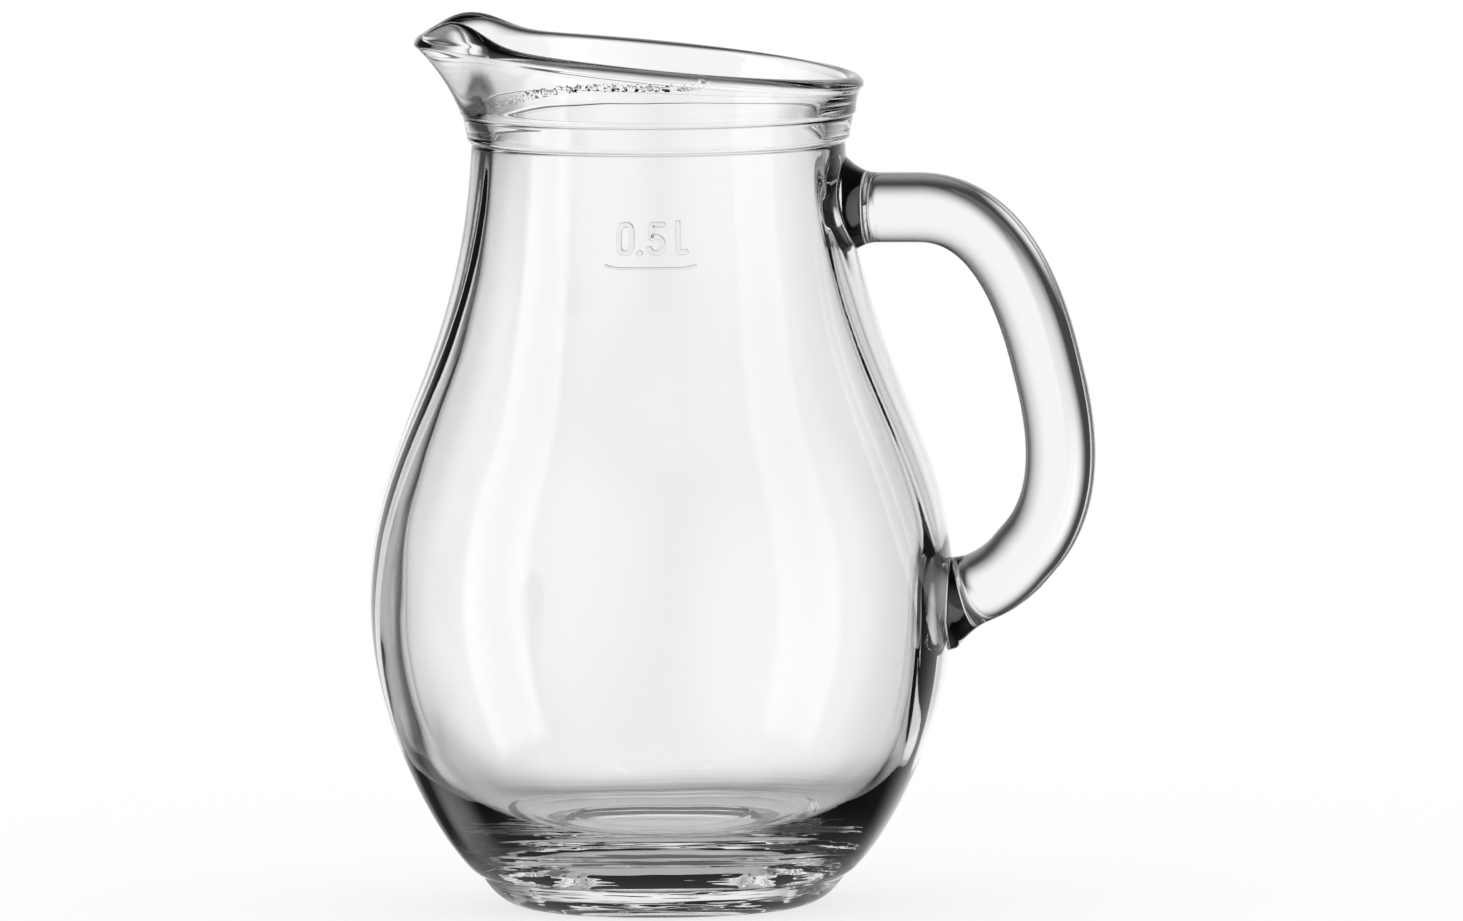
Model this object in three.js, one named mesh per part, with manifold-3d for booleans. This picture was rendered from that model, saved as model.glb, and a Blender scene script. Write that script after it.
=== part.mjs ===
// Clear glass half-litre jug: a heavy pear-shaped vessel with a slanted lip and a pulled spout, and a
// solid glass rod bent into a handle and stuck on hot at two welds.
// Millimetres, +Z up, standing on z = 0. The handle points along +X and the spout along -X, and the
// XZ plane is the mirror plane. The origin is under the middle of the box around the jug.

import * as THREE from 'three';
import { mergeVertices } from 'three/addons/utils/BufferGeometryUtils.js';
import Module from 'manifold-3d';

// Underside and foot
const RING_INNER_RADIUS = 19;
const RING_OUTER_RADIUS = 22.6;
const PUSH_UP_HEIGHT = 2.6;
const PUSH_UP_CROWN = 12;
const FOOT_RADIUS = 31;
const FOOT_HEIGHT = 5.4;
const FOOT_UNDERCUT = 3;
const FOOT_ROUND_HEIGHT = 0.4;

// Outside of the belly and neck
const BELLY_RADIUS = 49.9;
const BELLY_HEIGHT = 52.4;
const NECK_RADIUS = 31.9;
const NECK_TAPER = 1.9;
const FOOT_FLARE_OUT = 5.1;
const FOOT_FLARE_UP = 1.8;
const LOWER_FULLNESS = 22;
const SHOULDER_FULLNESS = 29.6;
const NECK_FULLNESS = 40;

// Collar band between the neck and the lip
const COLLAR_RADIUS = 33.4;
const COLLAR_BOTTOM = 130.9;
const COLLAR_ROUND = 1.4;
const COLLAR_TAPER = 0.7;
const COLLAR_TOP = 135.6;
const LIP_OVERHANG = 0.4;

// Lip: its height runs from the handle side up to the spout side
const RIM_RADIUS = 35.2;
const LIP_THICKNESS = 3.4;
const LIP_FLARE_HEIGHT = 3.6;
const RIM_HEIGHT_AT_HANDLE = 142.1;
const RIM_HEIGHT_AT_SPOUT = 149.2;

// Spout: a beak pulled outward, with a raised crest on either side of it
const SPOUT_REACH = 6.55;
const SPOUT_OUTER_HALF_ANGLE = THREE.MathUtils.degToRad(25);
const SPOUT_INNER_HALF_ANGLE = THREE.MathUtils.degToRad(17);
const SPOUT_CURL = 1.3;
const CREST_RISE = 3.3;
const CREST_ANGLE = THREE.MathUtils.degToRad(21.5);
const CREST_INNER_SPREAD = THREE.MathUtils.degToRad(12.2);
const CREST_OUTER_SPREAD = THREE.MathUtils.degToRad(16.3);

// Inside of the vessel
const BELLY_WALL = 4.4;
const SHOULDER_WALL = 5.2;
const NECK_WALL = 3.1;
const COLLAR_WALL = 4.2;
const FLOOR_HEIGHT = 9.4;
const FLOOR_RADIUS = 22;
const FLOOR_DISH = 2;
const FLOOR_CORNER_OUT = 15;
const FLOOR_CORNER_UP = 1.6;
const INNER_LOWER_FULLNESS = 20;

// Handle: a round rod along straight runs with rounded corners
const ROD_RADIUS = 6;
const UPPER_WELD_HEIGHT = 119.6;
const LOWER_WELD_HEIGHT = 53;
const SHOULDER_REACH = 27.9;
const SHOULDER_BEFORE = 15.4;
const SHOULDER_AFTER = 26.6;
const HEEL_REACH = 21.5;
const HEEL_HEIGHT = 71.2;
const HEEL_BEFORE = 19.8;
const HEEL_AFTER = 12.2;
const TOE_REACH = 8.4;
const TOE_RISE = 2.9;
const TOE_ROUND = 5;

// Welds: the rod's ends flare where they meet the vessel and stop just short of its wall
const WELD_GAP = 0.3;
const WELD_DEPTH = 5;
const UPPER_WELD_FLARE = 2;
const UPPER_FLARE_LENGTH = 4.5;
const LOWER_WELD_FLARE = 1.3;
const LOWER_FLARE_LENGTH = 5;
const FLARE_START = -2;

// Facets
const OUTLINE_STEPS = 6;
const TURN_STEPS = 64;
const ROD_RINGS = 48;
const ROD_SIDES = 24;

const wasm = await Module();
wasm.setup();

// One closed surface: shared vertices merged and collapsed triangles taken out
function closedSurface(geometry) {
  const bare = geometry.clone();
  bare.deleteAttribute('normal');
  bare.deleteAttribute('uv');
  const merged = mergeVertices(bare);
  const corners = merged.index.array;
  const kept = [];
  for (let i = 0; i < corners.length; i += 3) {
    const [a, b, c] = corners.slice(i, i + 3);
    if (a !== b && b !== c && c !== a) {
      kept.push(a, b, c);
    }
  }
  merged.setIndex(kept);
  return merged;
}

// A solid of revolution about Z, from an outline of radius and height that starts and ends on the axis
function revolve(points) {
  const lathe = new THREE.LatheGeometry(points, TURN_STEPS);
  lathe.rotateX(Math.PI / 2);
  return closedSurface(lathe);
}

function toSolid(geometry) {
  return new wasm.Manifold(new wasm.Mesh({
    numProp: 3,
    vertProperties: new Float32Array(geometry.attributes.position.array),
    triVerts: new Uint32Array(geometry.index.array),
  }));
}

function toGeometry(solid) {
  const mesh = solid.getMesh();
  const geometry = new THREE.BufferGeometry();
  geometry.setAttribute('position', new THREE.BufferAttribute(new Float32Array(mesh.vertProperties), 3));
  geometry.setIndex(new THREE.BufferAttribute(new Uint32Array(mesh.triVerts), 1));
  return geometry;
}

// Adds the outside from the foot's crease over the belly, neck and collar to the lip's outer edge
function addBodyCurves(path) {
  const collarFoot = COLLAR_RADIUS - COLLAR_TAPER;
  const lipFoot = COLLAR_RADIUS + LIP_OVERHANG;
  path.bezierCurveTo(
    FOOT_RADIUS + FOOT_FLARE_OUT, FOOT_HEIGHT + FOOT_FLARE_UP,
    BELLY_RADIUS, BELLY_HEIGHT - LOWER_FULLNESS,
    BELLY_RADIUS, BELLY_HEIGHT,
  );
  path.bezierCurveTo(
    BELLY_RADIUS, BELLY_HEIGHT + SHOULDER_FULLNESS,
    NECK_RADIUS + NECK_TAPER, COLLAR_BOTTOM - NECK_FULLNESS,
    NECK_RADIUS, COLLAR_BOTTOM,
  );
  path.quadraticCurveTo(collarFoot, COLLAR_BOTTOM, collarFoot, COLLAR_BOTTOM + COLLAR_ROUND);
  path.lineTo(COLLAR_RADIUS, COLLAR_TOP);
  path.lineTo(lipFoot, COLLAR_TOP);
  path.quadraticCurveTo(
    lipFoot, COLLAR_TOP + LIP_FLARE_HEIGHT,
    RIM_RADIUS, RIM_HEIGHT_AT_HANDLE - LIP_THICKNESS / 2,
  );
}

// The outside from the foot's crease to the lip, then straight up to the height of the crests
function bodyOutline() {
  const path = new THREE.Path();
  path.moveTo(FOOT_RADIUS, FOOT_HEIGHT);
  addBodyCurves(path);
  path.lineTo(RIM_RADIUS, RIM_HEIGHT_AT_SPOUT + CREST_RISE);
  return path.getPoints(OUTLINE_STEPS);
}

// Outer radius of the vessel at a height between its foot and its lip
function bodyRadiusAt(height) {
  const points = bodyOutline();
  const above = points.findIndex((point) => point.y >= height);
  const low = points[above - 1];
  const high = points[above];
  const share = (height - low.y) / (high.y - low.y);
  return THREE.MathUtils.lerp(low.x, high.x, share);
}

// Outside of the vessel, from the middle of the underside to the lip's outer edge
function addOuterOutline(path) {
  path.moveTo(0, PUSH_UP_HEIGHT);
  path.quadraticCurveTo(PUSH_UP_CROWN, PUSH_UP_HEIGHT, RING_INNER_RADIUS, 0);
  path.lineTo(RING_OUTER_RADIUS, 0);
  path.quadraticCurveTo(FOOT_RADIUS - FOOT_UNDERCUT, FOOT_ROUND_HEIGHT, FOOT_RADIUS, FOOT_HEIGHT);
  addBodyCurves(path);
}

// Inside of the vessel, from the lip's inner edge down the wall to the middle of the floor
function addInnerOutline(path) {
  const innerBelly = BELLY_RADIUS - BELLY_WALL;
  const innerNeck = NECK_RADIUS - NECK_WALL;
  path.quadraticCurveTo(
    COLLAR_RADIUS - COLLAR_WALL, COLLAR_TOP,
    innerNeck, COLLAR_BOTTOM,
  );
  path.bezierCurveTo(
    NECK_RADIUS + NECK_TAPER - SHOULDER_WALL, COLLAR_BOTTOM - NECK_FULLNESS,
    innerBelly, BELLY_HEIGHT + SHOULDER_FULLNESS,
    innerBelly, BELLY_HEIGHT,
  );
  path.bezierCurveTo(
    innerBelly, BELLY_HEIGHT - INNER_LOWER_FULLNESS,
    FLOOR_RADIUS + FLOOR_CORNER_OUT, FLOOR_HEIGHT + FLOOR_DISH + FLOOR_CORNER_UP,
    FLOOR_RADIUS, FLOOR_HEIGHT + FLOOR_DISH,
  );
  path.quadraticCurveTo(FLOOR_RADIUS / 2, FLOOR_HEIGHT, 0, FLOOR_HEIGHT);
}

// Height of the crests on either side of the spout, at an angle from it
function crestRise(angle) {
  const spread = angle < CREST_ANGLE ? CREST_INNER_SPREAD : CREST_OUTER_SPREAD;
  return CREST_RISE * Math.exp(-(((angle - CREST_ANGLE) / spread) ** 2));
}

// How far the spout is pulled out of the lip: its channel is narrower inside than out
function spoutPull(angle, radius, share) {
  const innerRadius = THREE.MathUtils.lerp(COLLAR_RADIUS - COLLAR_WALL, RIM_RADIUS - LIP_THICKNESS, share);
  const outside = THREE.MathUtils.clamp((radius - innerRadius) / LIP_THICKNESS, 0, 1);
  const halfAngle = THREE.MathUtils.lerp(SPOUT_INNER_HALF_ANGLE, SPOUT_OUTER_HALF_ANGLE, outside);
  return SPOUT_REACH * Math.exp(-((angle / halfAngle) ** 2)) * share ** SPOUT_CURL;
}

// Slants the lip, pulls the spout out of it and raises the crests out of its rounded top; the glass
// below the collar's top stays round
function pullLip(geometry) {
  const position = geometry.attributes.position;
  const point = new THREE.Vector3();
  const lipStart = RIM_HEIGHT_AT_HANDLE - LIP_THICKNESS / 2;
  for (let i = 0; i < position.count; i += 1) {
    point.fromBufferAttribute(position, i);
    const share = THREE.MathUtils.clamp((point.z - COLLAR_TOP) / (lipStart - COLLAR_TOP), 0, 1);
    const topShare = THREE.MathUtils.clamp((point.z - lipStart) / (LIP_THICKNESS / 2), 0, 1);
    const radius = Math.hypot(point.x, point.y);
    if (share > 0 && radius > 0) {
      const angle = Math.abs(Math.atan2(point.y, -point.x));
      const slant = (RIM_HEIGHT_AT_SPOUT - RIM_HEIGHT_AT_HANDLE) * (1 + Math.cos(angle)) / 2;
      const grow = 1 + spoutPull(angle, radius, share) / radius;
      const rise = slant * share + crestRise(angle) * topShare;
      position.setXYZ(i, point.x * grow, point.y * grow, point.z + rise);
    }
  }
}

function makeVessel() {
  const outline = new THREE.Path();
  addOuterOutline(outline);
  const lipCentre = RIM_RADIUS - LIP_THICKNESS / 2;
  outline.absarc(lipCentre, RIM_HEIGHT_AT_HANDLE - LIP_THICKNESS / 2, LIP_THICKNESS / 2, 0, Math.PI, false);
  addInnerOutline(outline);
  const vessel = revolve(outline.getPoints(OUTLINE_STEPS));
  pullLip(vessel);
  return vessel;
}

// Everything within the vessel's outside, grown by the weld gap: what the handle's ends are cut with
function makeWeldCutter() {
  const points = bodyOutline().map((point) => new THREE.Vector2(point.x + WELD_GAP, point.y));
  const bottom = new THREE.Vector2(0, FOOT_HEIGHT);
  const top = new THREE.Vector2(0, points.at(-1).y);
  return toSolid(revolve([bottom, ...points, top]));
}

// The rod's axis: out from the neck, round the shoulder, down the grip, round the heel, and in to the
// belly with a small turn at the toe
function handlePath() {
  const at = (x, z) => new THREE.Vector3(x, 0, z);
  const upperWeld = at(bodyRadiusAt(UPPER_WELD_HEIGHT), UPPER_WELD_HEIGHT);
  const shoulder = at(NECK_RADIUS + SHOULDER_REACH, UPPER_WELD_HEIGHT);
  const heel = at(BELLY_RADIUS + HEEL_REACH, HEEL_HEIGHT);
  const lowerWeld = at(bodyRadiusAt(LOWER_WELD_HEIGHT), LOWER_WELD_HEIGHT);
  const toe = at(lowerWeld.x + TOE_REACH, LOWER_WELD_HEIGHT + TOE_RISE);
  const towards = (from, to, length) => from.clone().add(to.clone().sub(from).setLength(length));
  const stops = [
    towards(upperWeld, shoulder, -WELD_DEPTH),
    towards(shoulder, upperWeld, SHOULDER_BEFORE), shoulder, towards(shoulder, heel, SHOULDER_AFTER),
    towards(heel, shoulder, HEEL_BEFORE), heel, towards(heel, toe, HEEL_AFTER),
    towards(toe, heel, TOE_ROUND), toe, towards(toe, lowerWeld, TOE_ROUND),
    towards(lowerWeld, toe, -WELD_DEPTH),
  ];
  const path = new THREE.CurvePath();
  for (let i = 0; i + 4 < stops.length; i += 3) {
    path.add(new THREE.LineCurve3(stops[i], stops[i + 1]));
    path.add(new THREE.QuadraticBezierCurve3(stops[i + 1], stops[i + 2], stops[i + 3]));
  }
  path.add(new THREE.LineCurve3(stops.at(-2), stops.at(-1)));
  return path;
}

// How much a weld widens the rod at a distance outside the vessel's wall
function flareAt(distance, flare, length) {
  const share = 1 - Math.max(distance, FLARE_START) / length;
  return share > 0 ? flare * share ** 2 : 0;
}

// The rod as rings of points along its axis, closed by a fan at either end
function makeRod() {
  const path = handlePath();
  const length = path.getLength();
  const side = new THREE.Vector3(0, 1, 0);
  const positions = [];
  const triangles = [];
  const addPoint = (point) => positions.push(point.x, point.y, point.z);
  for (let ring = 0; ring <= ROD_RINGS; ring += 1) {
    const share = ring / ROD_RINGS;
    const centre = path.getPoint(share);
    const outward = new THREE.Vector3().crossVectors(path.getTangent(share), side);
    const upper = flareAt(length * share - WELD_DEPTH, UPPER_WELD_FLARE, UPPER_FLARE_LENGTH);
    const lower = flareAt(length * (1 - share) - WELD_DEPTH, LOWER_WELD_FLARE, LOWER_FLARE_LENGTH);
    const radius = ROD_RADIUS + upper + lower;
    for (let step = 0; step < ROD_SIDES; step += 1) {
      const turn = 2 * Math.PI * step / ROD_SIDES;
      addPoint(centre.clone()
        .addScaledVector(outward, radius * Math.cos(turn))
        .addScaledVector(side, radius * Math.sin(turn)));
    }
  }
  const startCentre = positions.length / 3;
  addPoint(path.getPoint(0));
  const endCentre = positions.length / 3;
  addPoint(path.getPoint(1));
  const lastRing = ROD_RINGS * ROD_SIDES;
  for (let step = 0; step < ROD_SIDES; step += 1) {
    const next = (step + 1) % ROD_SIDES;
    for (let first = 0; first < lastRing; first += ROD_SIDES) {
      const second = first + ROD_SIDES;
      triangles.push(first + step, second + step, second + next);
      triangles.push(first + step, second + next, first + next);
    }
    triangles.push(startCentre, step, next);
    triangles.push(endCentre, lastRing + next, lastRing + step);
  }
  const geometry = new THREE.BufferGeometry();
  geometry.setAttribute('position', new THREE.Float32BufferAttribute(positions, 3));
  geometry.setIndex(triangles);
  return geometry;
}

function makeHandle() {
  return toGeometry(toSolid(makeRod()).subtract(makeWeldCutter()));
}

// Clear, colourless, fire-polished glass
function clearGlass() {
  return new THREE.MeshStandardMaterial({
    color: 0xeaf0ef,
    roughness: 0.04,
    metalness: 0,
    transparent: true,
    opacity: 0.35,
  });
}

function makePiece(name, geometry) {
  geometry.computeVertexNormals();
  const piece = new THREE.Mesh(geometry, clearGlass());
  piece.name = name;
  return piece;
}

const jug = new THREE.Group();
jug.add(makePiece('vessel', makeVessel()));
jug.add(makePiece('handle', makeHandle()));

// The middle of the box around spout and handle goes over the origin
const box = new THREE.Box3().setFromObject(jug);
jug.position.x = -(box.min.x + box.max.x) / 2;

export default jug;
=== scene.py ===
"""Clear glass half-litre jug: fire-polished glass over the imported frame, on a white studio floor.
Metres, +Z up, in the frame's own axes: the handle points along +X and the spout along -X."""

import math

import bpy
import numpy as np
from mathutils import Matrix, Vector


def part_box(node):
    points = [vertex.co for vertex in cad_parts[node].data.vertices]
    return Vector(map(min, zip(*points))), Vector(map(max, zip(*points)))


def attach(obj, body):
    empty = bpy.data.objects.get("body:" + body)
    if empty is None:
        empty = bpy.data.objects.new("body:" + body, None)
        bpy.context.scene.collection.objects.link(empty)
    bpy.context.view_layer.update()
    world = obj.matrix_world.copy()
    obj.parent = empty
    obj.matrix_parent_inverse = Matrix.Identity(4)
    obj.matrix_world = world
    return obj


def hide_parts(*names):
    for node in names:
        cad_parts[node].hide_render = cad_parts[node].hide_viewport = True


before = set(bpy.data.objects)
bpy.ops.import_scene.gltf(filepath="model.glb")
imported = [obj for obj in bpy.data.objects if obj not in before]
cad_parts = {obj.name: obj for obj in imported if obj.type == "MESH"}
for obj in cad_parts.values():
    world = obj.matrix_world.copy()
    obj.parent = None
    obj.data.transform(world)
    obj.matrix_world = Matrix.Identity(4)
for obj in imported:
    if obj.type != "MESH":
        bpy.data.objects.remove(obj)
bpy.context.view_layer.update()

# Underside and foot
RING_INNER_RADIUS = 0.019
RING_OUTER_RADIUS = 0.0226
PUSH_UP_HEIGHT = 0.0026
PUSH_UP_CROWN = 0.012
FOOT_RADIUS = 0.031
FOOT_HEIGHT = 0.0054
FOOT_UNDERCUT = 0.003
FOOT_ROUND_HEIGHT = 0.0004

# Outside of the belly and neck
BELLY_RADIUS = 0.0499
BELLY_HEIGHT = 0.0524
NECK_RADIUS = 0.0319
NECK_TAPER = 0.0019
FOOT_FLARE_OUT = 0.0051
FOOT_FLARE_UP = 0.0018
LOWER_FULLNESS = 0.022
SHOULDER_FULLNESS = 0.0296
NECK_FULLNESS = 0.040

# Collar band between the neck and the lip
COLLAR_RADIUS = 0.0334
COLLAR_BOTTOM = 0.1309
COLLAR_ROUND = 0.0014
COLLAR_TAPER = 0.0007
COLLAR_TOP = 0.1356
LIP_OVERHANG = 0.0004
# Creases pressed in below and above the collar, deepest at one heading and shallow opposite to it, where
# they have only a share of that depth
CREASE_DEPTH = 0.00024
CREASE_LEAST = 0.15
CREASE_HALF_WIDTH = 0.00034
CREASE_HEADING = math.radians(275)

# Lip: its height runs from the handle side up to the spout side
RIM_RADIUS = 0.0352
LIP_THICKNESS = 0.0034
LIP_FLARE_HEIGHT = 0.0036
RIM_HEIGHT_AT_HANDLE = 0.1421
RIM_HEIGHT_AT_SPOUT = 0.1492

# Spout: a beak pulled outward, with a raised crest on either side of it
SPOUT_REACH = 0.00655
SPOUT_OUTER_HALF_ANGLE = math.radians(25)
SPOUT_INNER_HALF_ANGLE = math.radians(17)
SPOUT_CURL = 1.3
CREST_RISE = 0.0033
CREST_ANGLE = math.radians(21.5)
CREST_INNER_SPREAD = math.radians(12.2)
CREST_OUTER_SPREAD = math.radians(16.3)
# Drawn by hand, one crest thins out evenly to its edge and the far one stays full
CREST_TAPER_NEAR = 3.0
CREST_TAPER_FAR = 0.35

# Inside of the vessel
BELLY_WALL = 0.0044
SHOULDER_WALL = 0.0052
NECK_WALL = 0.0031
COLLAR_WALL = 0.0042
FLOOR_HEIGHT = 0.0094
FLOOR_RADIUS = 0.022
FLOOR_DISH = 0.002
FLOOR_CORNER_OUT = 0.015
FLOOR_CORNER_UP = 0.0016
INNER_LOWER_FULLNESS = 0.020
# Rings that the mould's plunger left round the floor: radius, rise and half width
FLOOR_RINGS = [
    (0.0264, 0.0003, 0.0007),
    (0.0234, 0.00045, 0.001),
    (0.0155, 0.0002, 0.0008),
]

# Handle: a round rod along straight runs with rounded corners
ROD_RADIUS = 0.006
UPPER_WELD_HEIGHT = 0.1196
LOWER_WELD_HEIGHT = 0.053
SHOULDER_REACH = 0.0279
SHOULDER_BEFORE = 0.0154
SHOULDER_AFTER = 0.0266
HEEL_REACH = 0.0215
HEEL_HEIGHT = 0.0712
HEEL_BEFORE = 0.0198
HEEL_AFTER = 0.0122
TOE_REACH = 0.0084
TOE_RISE = 0.0029
TOE_ROUND = 0.005

# Welds: the rod's ends flare and run a hair into the vessel's wall, where the glass is one
WELD_SINK = 0.00004
UPPER_WELD_FLARE = 0.002
UPPER_FLARE_LENGTH = 0.0045
LOWER_WELD_FLARE = 0.0013
LOWER_FLARE_LENGTH = 0.005
FLARE_START = -0.002
# Distance along the rod from each weld to the first ring that stands square to the rod's axis
UPPER_WELD_RUN = 0.004
LOWER_WELD_RUN = 0.0036

# What blowing leaves on the inside. Waves: count round the jug, size, turns per metre up, start.
# Ridges: heading in degrees at the belly, drift in degrees per metre up, width in degrees, size.
INNER_WAVES = [
    (5, 0.00012, 3.0, 0.4),
    (9, 0.00005, -5.0, 1.9),
    (16, 0.00002, 4.0, 4.1),
]
INNER_RIDGES = [
    (186, 220, 3.2, 0.00022),
    (352, -180, 3.4, 0.0002),
    (12, 120, 3.0, 0.00018),
]
WAVES_FROM = 0.022
WAVES_TO = 0.134
WAVES_FADE = 0.016
# Sticking the handle on pushes the wall's inside inward behind the upper and the lower weld: how far, and
# its reach upward, downward and aside; the lower weld was dragged down the wall. A higher flatness gives
# the push a flatter middle and steeper sides.
WELD_PUSHES = [
    (0.0006, 0.009, 0.009, 0.009),
    (0.0020, 0.006, 0.018, 0.012),
]
WELD_PUSH_FLATNESS = 4

# Fill mark raised on the neck: a plain half-litre figure over a line, by heading, height of its foot, and
# lengths along the wall; its strokes are low rounded beads
MARK_HEADING = math.radians(272.6)
MARK_FOOT = 0.1139
NOUGHT_AT = (-0.0043, 0.0028)
NOUGHT_RADII = (0.00112, 0.00238)
NOUGHT_SQUARE = 0.6
POINT_AT = (-0.0019, 0.0004)
FIVE_TOP = [(0.0021, 0.0052), (0.0003, 0.0052), (0.0001, 0.0029)]
FIVE_BOWL_AT = (0.00095, 0.0018)
FIVE_BOWL_RADII = (0.00125, 0.0014)
FIVE_BOWL_TURN = (math.radians(108), math.radians(-150))
LITRE_STEM = [(0.0048, 0.0054), (0.0048, 0.0011)]
LITRE_FOOT = [(0.0048, 0.0011), (0.0048, 0.0003), (0.0060, 0.0006)]
MARK_LINE_HALF = 0.0076
MARK_LINE_DROP = 0.0022
MARK_LINE_CURL = 0.0005
MARK_LINE_FLATNESS = 8
BEAD_WIDTH = 0.00095
BEAD_RISE = 0.0001
BEAD_SHOULDER = 0.5
LINE_WIDTH = 0.00045
BEAD_SINK = 0.00003
BEAD_STEP = 0.0001
BEAD_POINTS = 21

# How far fire-polishing rounds the outline's corners, and over how many times that it averages
POLISH = 0.00015
POLISH_SPAN = 4

# Fineness of the meshes; no row of points is dropped within so many half widths of a crease
CURVE_STEPS = 200
OUTLINE_STEP = 0.00006
CREASE_SPAN = 2.5
LONGEST_FACE = 0.0022
LARGEST_TURN = math.radians(3.5)
TURN_STEPS = 256
ROD_RINGS = 150
ROD_SIDES = 72
CAP_RINGS = 8
WELD_ROWS = 10
# Search for the wall along the rod's end: how far either way, how often halved, and how often the flare
# there is worked out anew
SEAT_SEARCH = 0.02
SEAT_HALVINGS = 50
FLARE_ROUNDS = 12
# Least distance from the axis that is divided by, and one that is far from any weld
TINY = 1e-9
FAR_OFF = 1.0

# Glass: faint waves of hot working over all of it, and chill marks, a speckled arc on the lip's wall by
# heading in degrees and height, left where the hot lip touched a cool tool
GLASS_IOR = 1.52
GLASS_TINT = (0.9, 0.906, 0.904, 1)
GLASS_DENSITY = 14.0
WAVE_SCALE = 70.0
WAVE_DETAIL = 1.0
WAVE_RISE = 0.00008
CHILL_FROM = 216
CHILL_BEND = 262
CHILL_TO = 292
CHILL_TOP = 0.1425
CHILL_DROP = 0.0047
CHILL_WIDTH = 0.0007
CHILL_SCALE = 1500.0
CHILL_DETAIL = 2.0
CHILL_RISE = 0.0016
CHILL_GRAIN = (0.55, 0.62)
# Streaks round the heel, where the hot glass was turned against a paddle: how many to a metre sideways and
# up, their rise, the height up to which they are full and the one where they have died away
HEEL_STREAKS = (40.0, 40.0, 600.0)
HEEL_DETAIL = 2.0
HEEL_RISE = 0.00013
HEEL_FULL = 0.008
HEEL_END = 0.018

# The photograph's view: the camera stands far back, so the jug shows almost without perspective
CAMERA_AZIMUTH = math.radians(5)
CAMERA_ELEVATION = math.radians(4.7)
CAMERA_ROLL = math.radians(0.43)
CAMERA_DISTANCE = 5.0
FRAME_WIDTH = 0.25017
AIM_RIGHT = 0.01208
AIM_UP = 0.07592
SENSOR_WIDTH = 0.036
CLIP_END = 100.0

# Studio: white panels seen in the glass, by heading and height in degrees, and how far each one spreads
# left, right, up and down; a panel is plain up to one share of its spread and gone at the other. Between
# the panels lie dark gaps.
PANELS = [
    ((95, -5), (12, 38, 52, 20)),
    ((108, 2), (16, 20, 40, 14)),
    ((180, -3), (18, 15, 52, 32)),
    ((315, -15), (28, 28, 45, 32)),
    ((139, -31), (14, 14, 10, 16)),
]
PANEL_PLAIN = 0.35
PANEL_END = 1.65
GAP_LEVEL = 0.06
# Grey ground below the panels, coming up between two heights
GROUND_LEVEL = 0.3
GROUND_FROM = -35
GROUND_FULL = -55
# Two soft strips that only reflections show: heading, half width and level, and for both the heights they
# run between and the half width of their soft edges
STRIPS = [
    (205, 15, 2.0),
    (336, 14, 1.4),
]
STRIP_LOW = -35
STRIP_HIGH = 75
STRIP_EDGE = 2.5
# Floor: the share of its white that is lit paper, while the rest glows; and a painted shade that glass sees
# on the floor under the jug in place of its own shadow, darkest at the bearing ring and gone beyond a
# radius
PAPER = 0.25
SHADE_LEVEL = 0.45
CONTACT_LEVEL = 0.1
CONTACT_FADE = 0.0008
SHADE_RADIUS = 0.030
SHADE_END = 0.060
FLOOR_HALF_WIDTH = 12.0

JUG_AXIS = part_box("vessel")[1].x - BELLY_RADIUS


def curve(points, steps=CURVE_STEPS):
    """Points along a line or a Bezier curve of any degree, from its first control point to its last."""
    share = np.linspace(0, 1, steps)[:, None]
    rows = [np.tile(np.array(point, float), (steps, 1)) for point in points]
    while len(rows) > 1:
        rows = [(1 - share) * a + share * b for a, b in zip(rows, rows[1:])]
    return rows[0]


def evenly(points, step):
    """The same line with points an even step apart."""
    lengths = np.r_[0, np.cumsum(np.linalg.norm(np.diff(points, axis=0), axis=1))]
    at = np.linspace(0, lengths[-1], int(lengths[-1] / step) + 1)
    return np.stack([np.interp(at, lengths, column) for column in points.T], axis=1)


def smooth_share(value):
    """Eases from 0 to 1 as the value goes from 0 to 1."""
    share = np.clip(value, 0, 1)
    return share * share * (3 - 2 * share)


def axis_distance(points):
    return np.maximum(np.hypot(points[..., 0], points[..., 1]), TINY)


def move_out(points, distance):
    """Moves points straight away from the jug's axis."""
    radius = axis_distance(points)
    moved = points.copy()
    moved[..., :2] *= ((radius + distance) / radius)[..., None]
    return moved


def body_curves():
    """Outside of the vessel from the foot's crease over the belly to the collar, as radius and height."""
    belly = (BELLY_RADIUS, BELLY_HEIGHT)
    lower = curve([
        (FOOT_RADIUS, FOOT_HEIGHT),
        (FOOT_RADIUS + FOOT_FLARE_OUT, FOOT_HEIGHT + FOOT_FLARE_UP),
        (BELLY_RADIUS, BELLY_HEIGHT - LOWER_FULLNESS),
        belly,
    ])
    upper = curve([
        belly,
        (BELLY_RADIUS, BELLY_HEIGHT + SHOULDER_FULLNESS),
        (NECK_RADIUS + NECK_TAPER, COLLAR_BOTTOM - NECK_FULLNESS),
        (NECK_RADIUS, COLLAR_BOTTOM),
    ])
    return np.vstack([lower, upper])


def body_radius(height):
    """Radius of the vessel's outside at a height between the foot and the collar."""
    outline = body_curves()
    return np.interp(height, outline[:, 1], outline[:, 0])


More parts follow.
